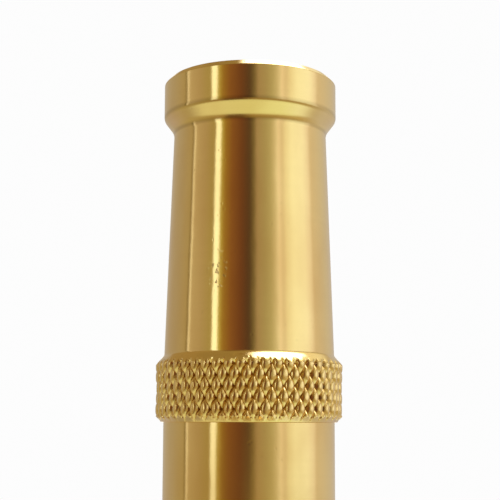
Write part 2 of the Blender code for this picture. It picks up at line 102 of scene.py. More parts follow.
class Shape:
    """A surface under construction, in millimetres: points, and faces that index them."""

    def __init__(self):
        self.blocks = []
        self.faces = []
        self.count = 0

    def add(self, points):
        points = np.asarray(points, float).reshape(-1, 3)
        self.blocks.append(points)
        self.count += len(points)
        return np.arange(self.count - len(points), self.count)

    def ring(self, radius, z, segments):
        """A circle of points, or one point on the axis."""
        if radius == 0:
            return self.add([(0, 0, z)])
        angle = np.arange(segments) * math.tau / segments
        heights = np.full(segments, z)
        return self.add(np.column_stack([radius * np.cos(angle), radius * np.sin(angle), heights]))

    def join(self, first, second):
        """Fills between two rings, whose point counts may differ."""
        if len(first) == len(second):
            after = np.roll(first, -1), np.roll(second, -1)
            self.faces += np.column_stack([first, after[0], after[1], second]).tolist()
            return
        fine, coarse = (first, second) if len(first) > len(second) else (second, first)
        nearest = [round(i * len(coarse) / len(fine)) for i in range(len(fine) + 1)]
        for i in range(len(fine)):
            here, following = nearest[i] % len(coarse), nearest[i + 1] % len(coarse)
            following_fine = fine[(i + 1) % len(fine)]
            self.faces.append([fine[i], following_fine, coarse[here]])
            if here != following:
                self.faces.append([following_fine, coarse[following], coarse[here]])

    def turn(self, profile, segments):
        """Turns an open profile about the axis and returns its first and last rings."""
        rings = [self.ring(radius, z, segments) for radius, z in profile]
        for first, second in zip(rings, rings[1:]):
            self.join(first, second)
        return rings[0], rings[-1]

    def place(self, matrix):
        """Moves everything made so far."""
        turned = np.array(matrix.to_3x3())
        self.blocks = [block @ turned.T + np.array(matrix.translation) for block in self.blocks]


def rounded(corners):
    """A profile from corners (radius, z, fillet): each corner with a fillet becomes an arc that is tangent to
    both its sides, with a support point beyond each end."""
    found = []
    for i, (radius, z, fillet) in enumerate(corners):
        if fillet == 0 or i in (0, len(corners) - 1):
            found.append((radius, z))
            continue
        here = Vector((radius, z))
        sides = [Vector(corners[j][:2]) - here for j in (i - 1, i + 1)]
        lengths = [side.length for side in sides]
        u, v = (side.normalized() for side in sides)
        half = u.angle(v) / 2
        reach = min(fillet / math.tan(half), FILLET_SHARE * min(lengths))
        centre = here + (u + v).normalized() * (reach / math.cos(half))
        start, end = u * reach + here - centre, v * reach + here - centre
        sweep = start.angle(end) * (1 if start.cross(end) > 0 else -1)
        support = min(SUPPORT_MM, SUPPORT_SHARE * min(lengths))
        found.append(tuple(here + u * (reach + support)))
        for step in range(FILLET_STEPS + 1):
            turn = Matrix.Rotation(sweep * step / FILLET_STEPS, 2)
            found.append(tuple(centre + turn @ start))
        found.append(tuple(here + v * (reach + support)))
    return found


def arc(centre, radius, start_degrees, end_degrees, steps):
    angles = np.radians(np.linspace(start_degrees, end_degrees, steps + 1))
    return [(centre[0] + radius * math.cos(a), centre[1] + radius * math.sin(a)) for a in angles]


def polar(angle, radius, z):
    return Vector((math.cos(angle), math.sin(angle), 0)) * radius + Vector((0, 0, z))


def smooth_minimum(first, second, blend):
    share = np.clip(0.5 + 0.5 * (first - second) / blend, 0, 1)
    return first + share * (second - first) - blend * share * (1 - share)


def knurl(shape, envelope, peak_radius, count, tip_z, turned=0):
    """A diamond knurl on a band. envelope is the band's turned profile, as (radius, z) from its lower edge
    up. tip_z is the height of one row of tips, which is turned by that many columns from +X."""
    height = math.tau * peak_radius / count / math.tan(KNURL_ANGLE)
    edge_radii, edge_heights = zip(*envelope)
    row_step = height / KNURL_STEPS
    first_row = math.ceil((edge_heights[0] - tip_z) / row_step)
    last_row = math.floor((edge_heights[-1] - tip_z) / row_step)
    heights = [tip_z + k * row_step for k in range(first_row, last_row + 1)]
    heights = [z for z in heights if all(abs(z - edge) > LEAST_ROW for edge in edge_heights)]
    heights = sorted([*heights, *edge_heights])
    columns = count * KNURL_STEPS
    angle = np.arange(columns) * math.tau / columns
    across = (np.arange(columns) - turned) / KNURL_STEPS
    radii = []
    for z in heights:
        along = (z - tip_z) / height
        surface = np.full(columns, peak_radius)
        worn = np.full(columns, KNURL_WEAR / 2)
        tooth = np.zeros(columns)
        for depth, place in zip(KNURL_DEPTHS, (across - along, across + along)):
            from_tip = 2 * np.abs(place - np.round(place))
            groove = np.round(place - 0.5) % count
            uneven = 1 + KNURL_UNEVENNESS * np.sin(GROOVE_TURN * groove)
            surface -= depth * uneven * from_tip**KNURL_POWER
            worn *= 1 - from_tip**2
            tooth = TOOTH_STRIDE * tooth + np.round(place) % count
        surface -= worn * (1 + np.sin(TOOTH_TURN * tooth))
        surface = np.maximum(surface, peak_radius - KNURL_ROOT)
        limit = np.interp(z, edge_heights, edge_radii)
        radii.append(np.minimum(limit, smooth_minimum(surface, limit + RUNOUT_RISE, RUNOUT_BLEND)))
    rows = [
        shape.add(np.column_stack([r * np.cos(angle), r * np.sin(angle), np.full(columns, z)]))
        for r, z in zip(radii, heights)
    ]
    for j in range(len(rows) - 1):
        low_left, high_left = rows[j], rows[j + 1]
        low_right, high_right = np.roll(low_left, -1), np.roll(high_left, -1)
        rising = radii[j] + np.roll(radii[j + 1], -1) < np.roll(radii[j], -1) + radii[j + 1]
        for k in range(columns):
            a, b, c, d = low_left[k], low_right[k], high_right[k], high_left[k]
            if rising[k]:
                shape.faces += [[a, b, c], [a, c, d]]
            else:
                shape.faces += [[a, b, d], [b, c, d]]
    return rows[0], rows[-1]


def thread(shape, root_radius, crest_radius, z_range, pitch, segments, phase=0.0):
    """A right-hand thread between two plain ends. Its rows run along the helix and are held level at both
    ends, where the ridge fades out, so that it meets the turned rings there."""
    low, high = z_range
    fade = THREAD_FADE * pitch
    turned = np.arange(segments) / segments
    angle = turned * math.tau
    rows = []
    for turn in range(-2, math.ceil((high - low) / pitch) + 2):
        for mark, share in THREAD_RIDGE:
            z = np.clip(low + pitch * (turn + mark + phase + turned), low, high)
            rise = share * np.minimum(1, np.minimum(z - low, high - z) / fade)
            radius = root_radius + rise * (crest_radius - root_radius)
            rows.append(shape.add(np.column_stack([radius * np.cos(angle), radius * np.sin(angle), z])))
    for j in range(len(rows) - 1):
        here, above = rows[j], rows[j + 1]
        shape.faces += np.column_stack([here[:-1], here[1:], above[1:], above[:-1]]).tolist()
        next_turn = j + len(THREAD_RIDGE)
        if next_turn + 1 < len(rows):
            turned_on, turned_above = rows[next_turn], rows[next_turn + 1]
            shape.faces.append([here[-1], turned_on[0], turned_above[0], above[-1]])


def mesh_of(shape, name):
    mesh = bpy.data.meshes.new(name)
    mesh.from_pydata((np.vstack(shape.blocks) * MM).tolist(), [], shape.faces)
    bm = bmesh.new()
    bm.from_mesh(mesh)
    bmesh.ops.remove_doubles(bm, verts=bm.verts, dist=WELD_MM * MM)
    bmesh.ops.dissolve_degenerate(bm, edges=bm.edges, dist=WELD_MM * MM)
    loose = [vert for vert in bm.verts if not vert.link_faces]
    bmesh.ops.delete(bm, geom=loose, context="VERTS")
    bmesh.ops.recalc_face_normals(bm, faces=bm.faces)
    bm.to_mesh(mesh)
    bm.free()
    return mesh


def add_object(name, mesh):
    obj = bpy.data.objects.new(name, mesh)
    bpy.context.scene.collection.objects.link(obj)
    return obj


def cut(mesh, tool_shapes):
    """The mesh with each closed tool shape cut from it."""
    obj = add_object("cutting", mesh)
    tools = [add_object("tool", mesh_of(shape, "tool")) for shape in tool_shapes]
    for tool in tools:
        modifier = obj.modifiers.new("cut", "BOOLEAN")
        modifier.operation, modifier.solver, modifier.object = "DIFFERENCE", "MANIFOLD", tool
    graph = bpy.context.evaluated_depsgraph_get()
    result = bpy.data.meshes.new_from_object(obj.evaluated_get(graph))
    for helper in (obj, *tools):
        bpy.data.objects.remove(helper)
    return result


def piece(name, mesh, node, body, material):
    """Puts a finished mesh into the scene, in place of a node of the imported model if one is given."""
    mesh.name = name
    mesh.materials.clear()
    mesh.materials.append(material)
    mesh.shade_smooth()
    mesh.set_sharp_from_angle(angle=math.radians(SHARP_DEGREES))
    obj = add_object(name, mesh)
    if node:
        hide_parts(node)
    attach(obj, body)
    return obj


def rod(radius, start, end, segments, chamfer=0.0):
    """A closed bar between two points, with its ends chamfered."""
    axis = Vector(end) - Vector(start)
    length = axis.length
    edge = [(radius - chamfer, 0), (radius, chamfer)] if chamfer else [(radius, 0)]
    profile = [(0, 0), *edge, *[(r, length - z) for r, z in reversed(edge)], (0, length)]
    shape = Shape()
    shape.turn(profile, segments)
    matrix = axis.to_track_quat("Z", "Y").to_matrix().to_4x4()
    matrix.translation = start
    shape.place(matrix)
    return shape


def box_shape(low, high):
    shape = Shape()
    corners = shape.add([(x, y, z) for z in (low[2], high[2]) for x, y in (
        (low[0], low[1]), (high[0], low[1]), (high[0], high[1]), (low[0], high[1]))])
    sides = [[i, (i + 1) % 4, 4 + (i + 1) % 4, 4 + i] for i in range(4)]
    shape.faces = [[corners[k] for k in face] for face in (*sides, [3, 2, 1, 0], [4, 5, 6, 7])]
    return shape


# --- Pieces -------------------------------------------------------------------------------------------------


def barrel_mesh():
    count = 48
    columns = count * KNURL_STEPS
    peak = 13.87
    tip_row = 51.85
    foot = [(12.66, 49.96), (13.07, 50.04), (13.22, 50.28), (peak, 50.88)]
    shoulder = [(peak, 58.38), (12.93, 59.44)]
    band = foot + shoulder
    shape = Shape()
    tail = rounded([(12.0, 28.0, 0), (12.66, 28.5, 0.2), (12.66, 49.84, 0)])
    tail_end, below_band = shape.turn(tail, columns)
    band_low, band_high = knurl(shape, band, peak, count, tip_row, turned=4)
    front = rounded([
        (12.91, 59.46, 0),
        (12.63, 59.82, 1.0),
        (11.53, 93.55, 2.2),
        (13.07, 95.6, 1.1),
        (13.07, LENGTH - 0.8, 0.2),
        (12.25, LENGTH, 0.15),
        (11.7, LENGTH, 0),
    ])
    above_band, lip_face = shape.turn(front, columns)
    shape.join(below_band, band_low)
    shape.join(band_high, above_band)

    inside_front = rounded([
        (11.5, LENGTH, 0),
        (10.4, LENGTH, 0.5),
        (10.0, 98.4, 4.0),
        (5.0, 89.6, 1.5),
        (4.5, 88.6, 0.3),
        (4.5, 87.0, 0.1),
        (8.8, 82.7, 0.3),
        (8.8, 60.0, 0.1),
        (11.0, 60.0, 0.15),
        (11.0, 56.2, 0.15),
        (8.8, 56.2, 0.1),
        (8.8, 52.8, 0.1),
        (10.4, 52.0, 0.1),
        (10.4, DRIVE_HIGH, 0),
    ])
    mouth, _ = shape.turn(inside_front, INSIDE_SEGMENTS)
    thread(shape, 10.4, 9.4, (DRIVE_LOW, DRIVE_HIGH), DRIVE_LEAD, INSIDE_SEGMENTS)
    inside_tail = rounded([
        (10.4, DRIVE_LOW, 0),
        (10.8, 37.6, 0.1),
        (10.8, 33.55, 0.05),
        (11.6, 33.55, 0.05),
        (11.6, 31.95, 0.05),
        (10.8, 31.95, 0.05),
        (10.8, 28.6, 0.1),
        (11.5, 28.0, 0),
    ])
    _, tail_mouth = shape.turn(inside_tail, INSIDE_SEGMENTS)
    shape.join(lip_face, mouth)
    shape.join(tail_mouth, tail_end)
    return mesh_of(shape, "barrel")


def race_groove(wall_radius):
    """The half-round groove that the balls run in, from its top down, in a wall inside or outside them."""
    offset = wall_radius - RACE_RADIUS
    reach = math.degrees(math.acos(offset / RACE_GROOVE))
    end = 360 - reach if offset < 0 else -reach
    return arc((RACE_RADIUS, RACE_HEIGHT), RACE_GROOVE, reach, end, GROOVE_STEPS)


def stem_mesh():
    screw_low, screw_high = 38.9, 46.5
    shape = Shape()
    behind_thread = [
        *rounded([(10.3, 15.0, 0), (10.9, 15.4, 0.1), (10.9, 16.6, 0)]),
        *reversed(race_groove(10.9)),
        *rounded([
            (10.9, 21.0, 0),
            (10.9, 22.6, 0.25),
            (12.5, 22.6, 0.3),
            (12.5, 26.0, 0.35),
            (8.3, 26.0, 0.6),
            (8.3, 38.5, 0.1),
            (9.2, 38.5, 0.1),
            (9.2, screw_low, 0),
        ]),
    ]
    tail_face, _ = shape.turn(behind_thread, INSIDE_SEGMENTS)
    phase = ((DRIVE_LOW - screw_low) / DRIVE_LEAD + 0.5) % 1
    thread(shape, 9.2, 10.2, (screw_low, screw_high), DRIVE_LEAD, INSIDE_SEGMENTS, phase)
    ahead = rounded([
        (9.2, screw_high, 0),
        (9.2, 46.9, 0.1),
        (8.6, 47.5, 0.1),
        (8.6, 66.4, 0.3),
        (6.6, 67.8, 0.4),
        (6.6, 80.6, 0.25),
        (5.2, 80.6, 0),
    ])
    _, front_face = shape.turn(ahead, INSIDE_SEGMENTS)
    waterway = rounded([
        (5.1, 80.6, 0),
        (4.9, 80.4, 0.05),
        (4.9, 65.0, 0.2),
        (6.0, 63.8, 0.2),
        (6.0, 17.0, 0.5),
        (7.5, 15.0, 0),
    ])
    bore_front, bore_tail = shape.turn(waterway, INSIDE_SEGMENTS)
    shape.join(front_face, bore_front)
    shape.join(bore_tail, tail_face)
    return cut(mesh_of(shape, "stem"), port_drills())


def port_drills():
    """The round cutters of the stem's cross ports."""
    count, radius, z = 6, 2.0, 72.5
    inner_end, outer_end = 2.6, 9
    angles = [(i + 0.25) * math.tau / count for i in range(count)]
    ends = [(polar(angle, inner_end, z), polar(angle, outer_end, z)) for angle in angles]
    return [rod(radius, start, end, PORT_SEGMENTS) for start, end in ends]


def valve_cone_mesh():
    profile = rounded([
        (0, 76.4, 0),
        (4.2, 76.4, 0),
        (4.7, 76.9, 0.1),
        (4.7, 80.8, 0.05),
        (6.8, 80.8, 0.15),
        (6.8, 83.3, 0.15),
        (6.5, 83.6, 0.1),
        (4.75, 83.6, 0.15),
        (4.75, 85.6, 0.15),
        (5.4, 85.6, 0.08),
        (3.9, 87.1, 0.4),
        (3.2, 88.6, 0.8),
        (3.2, 90.1, 0.6),
        (3.9, 90.9, 0.12),
        (3.55, 91.4, 0.12),
        (0.9, 91.4, 0.05),
        (0, 90.9, 0),
    ])
    shape = Shape()
    shape.turn(profile, CONE_SEGMENTS)
    return mesh_of(shape, "valve_cone")


def torus_mesh(name, centre_radius, z, thickness):
    shape = Shape()
    section = arc((centre_radius, z), thickness / 2, 0, 360 - 360 / TORUS_SIDES, TORUS_SIDES - 1)
    first, last = shape.turn(section, TORUS_SEGMENTS)
    shape.join(last, first)
    return mesh_of(shape, name)


def ring_mesh(name, inner, outer, low, high, edge):
    """A ring of rectangular section with rounded edges."""
    middle = (low + high) / 2
    section = rounded([
        (inner, middle, 0),
        (inner, low, edge),
        (outer, low, edge),
        (outer, high, edge),
        (inner, high, edge),
        (inner, middle + 0.01, 0),
    ])
    shape = Shape()
    first, last = shape.turn(section, RING_SEGMENTS)
    shape.join(last, first)
    return mesh_of(shape, name)


def stop_ring_mesh():
    inner, outer, low, high, edge = 8.6, 11.45, 32.1, 33.4, 0.15
    gap, steps = math.radians(24), 144
    section = rounded([
        (inner, 32.7, 0),
        (inner, low, edge),
        (outer, low, edge),
        (outer, high, edge),
        (inner, high, edge),
        (inner, 32.8, 0),
    ])
    shape = Shape()
    rows = []
    for angle in np.linspace(gap / 2, math.tau - gap / 2, steps + 1):
        rows.append(shape.add([polar(angle, radius, z) for radius, z in section]))
    for first, second in zip(rows, rows[1:]):
        shape.join(first, second)
    shape.faces += [rows[0].tolist(), rows[-1].tolist()[::-1]]
    return mesh_of(shape, "stop_ring")


def swivel_nut_mesh():
    count = 56
    columns = count * KNURL_STEPS
    peak = 16.7
    tip_row = 5.4228
    band = [(15.55, 3.3), (peak, 4.2), (peak, 13.1), (15.5, 13.95)]
    shape = Shape()
    rim = rounded([
        (14.9, 0.0, 0),
        (16.3, 0.0, 0.7),
        (16.3, 2.6, 0.3),
        (15.55, 3.0, 0.15),
        (15.55, 3.2, 0),
    ])
    rear_face, below_band = shape.turn(rim, columns)
    band_low, band_high = knurl(shape, band, peak, count, tip_row)
    collar = rounded([
        (15.46, 14.05, 0),
        (14.2, 16.85, 1.2),
        (14.2, 22.0, 0.5),
        (12.4, 22.0, 0),
    ])
    above_band, front_face = shape.turn(collar, columns)
    shape.join(below_band, band_low)
    shape.join(band_high, above_band)
    inside = [
        *rounded([(12.2, 22.0, 0), (11.6, 22.0, 0.2), (11.3, 21.6, 0.1), (11.3, 20.9, 0)]),
        *race_groove(11.3),
        *rounded([
            (11.3, 16.7, 0),
            (11.3, 15.1, 0.15),
            (13.9, 15.1, 0.25),
            (13.9, 11.0, 0.15),
            (13.62, 10.6, 0),
        ]),
    ]
    front_mouth, _ = shape.turn(inside, INSIDE_SEGMENTS)
    thread(shape, 13.62, 12.19, (1.2, 10.6), 25.4 / 11.5, INSIDE_SEGMENTS)
    rear_chamfer = rounded([(13.62, 1.2, 0), (14.12, 0.0, 0.15), (14.6, 0.0, 0)])
    _, rear_mouth = shape.turn(rear_chamfer, INSIDE_SEGMENTS)
    shape.join(front_face, front_mouth)
    shape.join(rear_mouth, rear_face)
    ball_hole = rod(1.75, on_plug_axis(RACE_RADIUS), on_plug_axis(16), DRILL_SEGMENTS)
    return cut(mesh_of(shape, "swivel_nut"), [ball_hole])


def on_plug_axis(radius):
    return polar(PLUG_ANGLE, radius, RACE_HEIGHT)


def race_plug_mesh():
    plug = rod(1.6, on_plug_axis(12.75), on_plug_axis(PLUG_FACE), DRILL_SEGMENTS, chamfer=0.15)
    slot = box_shape((-0.6, -0.25, -2.2), (0.6, 0.25, 2.2))
    matrix = Matrix.Rotation(PLUG_ANGLE, 4, "Z")
    matrix.translation = on_plug_axis(PLUG_FACE)
    slot.place(matrix)
    return cut(mesh_of(plug, "race_plug"), [slot])


def ball_mesh():
    shape = Shape()
    between_poles = arc((0, 0), BALL_RADIUS, -80, 80, 16)
    shape.turn([(0, -BALL_RADIUS), *between_poles, (0, BALL_RADIUS)], BALL_SEGMENTS)
    return mesh_of(shape, "race_ball")


def screen_mesh():
    """A plain-weave wire screen: wires one way pass over and under those the other way."""
    pitch, wire, reach, height = 0.72, 0.2, 6.95, 13.5
    half = int(reach / pitch)
    shape = Shape()
    for crossing in (0, 1):
        for i in range(-half, half + 1):
            offset = i * pitch
            end = math.sqrt(reach**2 - offset**2)
            steps = max(8, 4 * round(2 * end / pitch))
            rings = []
            for s in np.linspace(-end, end, steps + 1):
                lift = wire / 2 * math.cos(math.pi * s / pitch) * (-1) ** (i + crossing)
                section = arc((offset, height + lift), wire / 2, 0, 360 - 360 / WIRE_SIDES, WIRE_SIDES - 1)
                rings.append(shape.add([(t, s, z) if crossing else (s, t, z) for t, z in section]))
            for first, second in zip(rings, rings[1:]):
                shape.join(first, second)
            shape.faces += [rings[0].tolist()[::-1], rings[-1].tolist()]
    return mesh_of(shape, "strainer_screen")


# --- Materials ----------------------------------------------------------------------------------------------

# The brass's patterns, as waves a metre along X, Y and Z, and its nicks' cells a metre
COARSE_MARKS = (70, 70, 1500)
FINE_MARKS = (60, 60, 6000)
DRIFT = (90, 90, 45)
RIPPLE = (330, 330, 240)
GRAIN = (4500, 4500, 4500)
KNURL_GRAIN = (1500, 1500, 1000)
DENTED = (2300, 2300, 1500)
NICKED = (300, 300, 300)
NICK_CELLS = 950.0

# The lathe marks' coarse and fine parts, where the marks and the drift show in the tone, and how far the
# drift moves the roughness
COARSE_PART = 0.6
FINE_PART = 0.4
MARKS_SHOW = (0.40, 0.66)
DRIFT_SHOWS = (0.40, 0.72)
GLOSS_DRIFT = (0.3, 0.7)
GLOSS_SPREAD = (0.9, 1.15)

# Heights in the brass's relief: the lathe marks' in metres, and the rest as multiples of it
MARK_HEIGHT = 8e-7
RIPPLE_HEIGHT = 22.0
GRAIN_HEIGHT = 2.0
KNURL_GRAIN_HEIGHT = 36.0
NICK_DEPTH = 36.0

# What is left of each channel where the brass has dulled, the painted shade round its creases, the painted
# shade and tarnish in its knurl's grooves, and the tarnish in its dents, each with the most of the tone that
# it takes over
DULLED = (0.93, 0.88, 0.84)
CREASE_PAINTED_SHADE = (0.22, 0.15, 0.04, 1)
CREASE_SHADE_SHARE = 0.30
GROOVE_SHADE_AND_TARNISH = (0.38, 0.19, 0.035, 1)
GROOVE_SHADE_SHARE = 0.80
DENT_TARNISH = (0.16, 0.08, 0.02, 1)
DENT_SHARE = 0.5

# The nicks: their size as a share of a cell, the noise that chooses them, and their share of a dent's depth.
# The patch of dents on the barrel: its noise, its middle, how far out it thins, and how each axis counts.
NICK_SIZE = (0.10, 0.22)
NICKS_CHOSEN = (0.59, 0.61)
NICK_SHARE = 0.14
DENTS_CHOSEN = (0.60, 0.68)
DENTS_MIDDLE = (-4.4, -11.2, 71.2)
DENTS_FADE = (0.8, 1.9)
DENTS_STRETCH = (1.0, 1.0, 0.55)

# The other materials: where their grain shows, and how far it moves their tone and roughness
PLAIN_SHOWS = (0.3, 0.7)
PLAIN_DARKER = 0.85
PLAIN_SMOOTHER = 0.04
PLAIN_ROUGHER = 0.06


class Graph:
    """Short calls for building a node tree."""

    def __init__(self, tree):
        self.tree = tree

    def node(self, kind, inputs=None, **settings):
        made = self.tree.nodes.new("ShaderNode" + kind)
        for name, value in settings.items():
            setattr(made, name, value)
        for name, value in (inputs or {}).items():
            if isinstance(value, bpy.types.NodeSocket):
                self.tree.links.new(value, made.inputs[name])
            else:
                made.inputs[name].default_value = value
        return made

    def math(self, operation, *values):
        return self.node("Math", dict(enumerate(values)), operation=operation).outputs[0]

    def vector(self, operation, *values, output="Vector"):
        return self.node("VectorMath", dict(enumerate(values)), operation=operation).outputs[output]

    def mix(self, share, first, second):
        """Mixes two colours, which are the node's inputs 6 and 7 and its output 2."""
        mixed = self.node("Mix", {0: share, 6: first, 7: second}, data_type="RGBA")
        return mixed.outputs[2]

    def ease(self, value, low, high, to_low=0.0, to_high=1.0):
        """value eased from low..high to to_low..to_high."""
        mapped = self.node(
            "MapRange",
            {"Value": value, "From Min": low, "From Max": high, "To Min": to_low, "To Max": to_high},
            interpolation_type="SMOOTHSTEP",
        )
        return mapped.outputs[0]

    def noise(self, coordinates, scale, detail=2.0, roughness=0.5):
        """Noise stretched by a scale per axis, in waves a metre."""
        mapped = self.node("Mapping", {"Vector": coordinates, "Scale": scale})
        inputs = {"Vector": mapped.outputs[0], "Scale": 1.0, "Detail": detail, "Roughness": roughness}
        return self.node("TexNoise", inputs).outputs[0]

    def add_scaled(self, height, texture, scale):
        return self.math("ADD", height, self.math("MULTIPLY", texture, scale))


def new_material(name):
    material = bpy.data.materials.new(name)
    material.use_nodes = True
    graph = Graph(material.node_tree)
    shader = material.node_tree.nodes["Principled BSDF"]
    coordinates = graph.node("TexCoord").outputs["Object"]
    return material, graph, shader, coordinates


def paint_crease_shade(graph, tone, z, crease, reach):
    """Tone darkened round one crease, out to its reach, as painted shade."""
    from_crease = graph.math("ABSOLUTE", graph.math("SUBTRACT", z, crease * MM))
    return graph.mix(graph.ease(from_crease, 0, reach * MM, CREASE_SHADE_SHARE, 0.0), tone, CREASE_PAINTED_SHADE)


def shade_and_roughen_knurl(graph, coordinates, tone, height, band):
    """Tone with painted shade and tarnish in a knurled band's grooves, and height with a coarse grain there.
    """
    low, high, root, peak = (value * MM for value in band)
    x, y, z = graph.node("SeparateXYZ", {0: coordinates}).outputs
    within = graph.math("MULTIPLY", graph.math("GREATER_THAN", z, low), graph.math("LESS_THAN", z, high))
    outwards = graph.node("CombineXYZ", {0: x, 1: y}).outputs[0]
    radius = graph.vector("LENGTH", outwards, output="Value")
    # Painted shade, with tarnish, in the grooves: the deeper the surface, the darker the tone
    depth = graph.ease(radius, root, peak, GROOVE_SHADE_SHARE, 0.0)
    tone = graph.mix(graph.math("MULTIPLY", depth, within), tone, GROOVE_SHADE_AND_TARNISH)
    uneven = graph.math("MULTIPLY", graph.noise(coordinates, KNURL_GRAIN), KNURL_GRAIN_HEIGHT)
    return tone, graph.add_scaled(height, uneven, within)


def add_nicks(graph, coordinates, tone, height):
    """Tone and height with small nicks here and there, and a patch of dents."""
    cells = {"Vector": coordinates, "Scale": NICK_CELLS, "Randomness": 1.0}
    from_cell = graph.node("TexVoronoi", cells, feature="F1").outputs["Distance"]
    nick = graph.ease(from_cell, *NICK_SIZE, 1.0, 0.0)
    chosen = graph.ease(graph.noise(coordinates, NICKED, 1.0), *NICKS_CHOSEN, 0.0, NICK_SHARE)
    nick = graph.math("MULTIPLY", nick, chosen)

    from_dents = graph.vector("SUBTRACT", coordinates, tuple(value * MM for value in DENTS_MIDDLE))
    from_dents = graph.vector("MULTIPLY", from_dents, DENTS_STRETCH)
    distance = graph.vector("LENGTH", from_dents, output="Value")
    near, far = (value * MM for value in DENTS_FADE)
    dent = graph.ease(graph.noise(coordinates, DENTED), *DENTS_CHOSEN)
    dent = graph.math("MULTIPLY", dent, graph.ease(distance, near, far, 1.0, 0.0))

    amount = graph.math("MAXIMUM", nick, dent)
    height = graph.math("SUBTRACT", height, graph.math("MULTIPLY", amount, NICK_DEPTH))
    return graph.mix(graph.math("MULTIPLY", amount, DENT_SHARE), tone, DENT_TARNISH), height


def brass(name, colour, roughness, streaks, creases=(), knurled=None, nicks=False):
    """Turned brass: fine lathe marks round the axis, which spread reflections along it, and a little handling
    wear. Its marks are darker by the share called streaks. Shade is painted round its creases, each a height
    and its reach, and painted shade with tarnish darkens the grooves of its knurled band: a lower and an
    upper height, and the radii where that darkening is full and gone."""
    material, graph, shader, coordinates = new_material(name)
    link = material.node_tree.links.new
    coarse = graph.noise(coordinates, COARSE_MARKS, 3.0, 0.6)
    fine = graph.noise(coordinates, FINE_MARKS, 2.0, 0.6)
    marks = graph.add_scaled(graph.math("MULTIPLY", coarse, COARSE_PART), fine, FINE_PART)
    drift = graph.noise(coordinates, DRIFT, 3.0, 0.55)

    scored = tuple(c * (1 - streaks) for c in colour)
    dulled = tuple(c * left for c, left in zip(colour, DULLED))
    tone = graph.mix(graph.ease(marks, *MARKS_SHOW), (*colour, 1), (*scored, 1))
    tone = graph.mix(graph.ease(drift, *DRIFT_SHOWS), tone, (*dulled, 1))
    height = graph.add_scaled(marks, graph.noise(coordinates, RIPPLE), RIPPLE_HEIGHT)
    height = graph.add_scaled(height, graph.noise(coordinates, GRAIN, 1.0), GRAIN_HEIGHT)
    z = graph.node("SeparateXYZ", {0: coordinates}).outputs[2]
    # Shade is painted into the tone round each crease
    for crease, reach in creases:
        tone = paint_crease_shade(graph, tone, z, crease, reach)
    if knurled:
        tone, height = shade_and_roughen_knurl(graph, coordinates, tone, height, knurled)
    if nicks:
        tone, height = add_nicks(graph, coordinates, tone, height)

    smoothest, roughest = (spread * roughness for spread in GLOSS_SPREAD)
    rough = graph.ease(drift, *GLOSS_DRIFT, smoothest, roughest)
    bump = graph.node("Bump", {"Height": height, "Distance": MARK_HEIGHT, "Strength": 1.0})
    tangent = graph.node("Tangent", direction_type="RADIAL", axis="Z")
    link(tone, shader.inputs["Base Color"])
    link(rough, shader.inputs["Roughness"])
    link(bump.outputs[0], shader.inputs["Normal"])
    link(tangent.outputs[0], shader.inputs["Tangent"])
    shader.inputs["Metallic"].default_value = 1.0
    shader.inputs["Anisotropic"].default_value = 0.9
    shader.inputs["Anisotropic Rotation"].default_value = 0.25
    return material


def plain(name, colour, metallic, roughness, grain, depth):
    """A material with a fine grain in its surface and its gloss."""
    material, graph, shader, coordinates = new_material(name)
    link = material.node_tree.links.new
    texture = graph.noise(coordinates, (grain,) * 3, 3.0)
    darker = tuple(PLAIN_DARKER * c for c in colour)
    tone = graph.mix(graph.ease(texture, *PLAIN_SHOWS), (*colour, 1), (*darker, 1))
    rough = graph.ease(texture, *PLAIN_SHOWS, roughness - PLAIN_SMOOTHER, roughness + PLAIN_ROUGHER)
    link(tone, shader.inputs["Base Color"])
    link(rough, shader.inputs["Roughness"])
    bump = graph.node("Bump", {"Height": texture, "Distance": depth, "Strength": 1.0})
    link(bump.outputs[0], shader.inputs["Normal"])
    shader.inputs["Metallic"].default_value = metallic
    return material


# --- Studio -------------------------------------------------------------------------------------------------

# What stands round the object: linear colours by direction, in degrees from -Y towards +X
STUDIO_RING = (
    (-180, (0.52, 0.48, 0.44)),
    (-120, (0.46, 0.41, 0.36)),
    (-96, (0.46, 0.39, 0.27)),
    (-94, (0.22, 0.18, 0.08)),
    (-92, (0.22, 0.18, 0.08)),
    (-91, (1.00, 0.95, 0.95)),
    (-88.8, (1.00, 0.95, 0.95)),
    (-87.3, (0.56, 0.48, 0.38)),
    (-70, (0.48, 0.39, 0.28)),
    (-52.4, (0.41, 0.35, 0.16)),
    (-50.9, (1.40, 1.52, 1.60)),
    (-44.5, (1.40, 1.52, 1.60)),
    (-42.6, (0.58, 0.52, 0.16)),
    (-36, (0.36, 0.22, 0.05)),
    (-26, (0.27, 0.12, 0.045)),
    (-12, (0.17, 0.066, 0.036)),
    (-2, (0.095, 0.050, 0.036)),
    (1, (0.10, 0.065, 0.045)),
    (6, (0.20, 0.16, 0.09)),
    (11, (0.42, 0.33, 0.24)),
    (22, (0.44, 0.40, 0.27)),
    (30, (0.53, 0.51, 0.36)),
    (36, (0.70, 0.68, 0.58)),
    (42, (1.02, 0.98, 1.00)),
    (48, (0.86, 0.80, 0.78)),
    (54, (1.02, 1.04, 1.00)),
    (64, (1.14, 1.24, 1.30)),
    (84, (1.14, 1.24, 1.38)),
    (95, (1.00, 0.98, 1.10)),
    (101, (0.76, 0.70, 0.70)),
    (130, (0.66, 0.64, 0.66)),
    (180, (0.52, 0.48, 0.44)),
)

# The same higher up, and the ceiling
UPPER_RING = (
    (-180, (0.40, 0.29, 0.13)),
    (-50, (0.38, 0.28, 0.13)),
    (-34, (0.22, 0.13, 0.05)),
    (-14, (0.22, 0.13, 0.05)),
    (6, (0.38, 0.28, 0.13)),
    (180, (0.40, 0.29, 0.13)),
)
CEILING = (0.34, 0.25, 0.11)

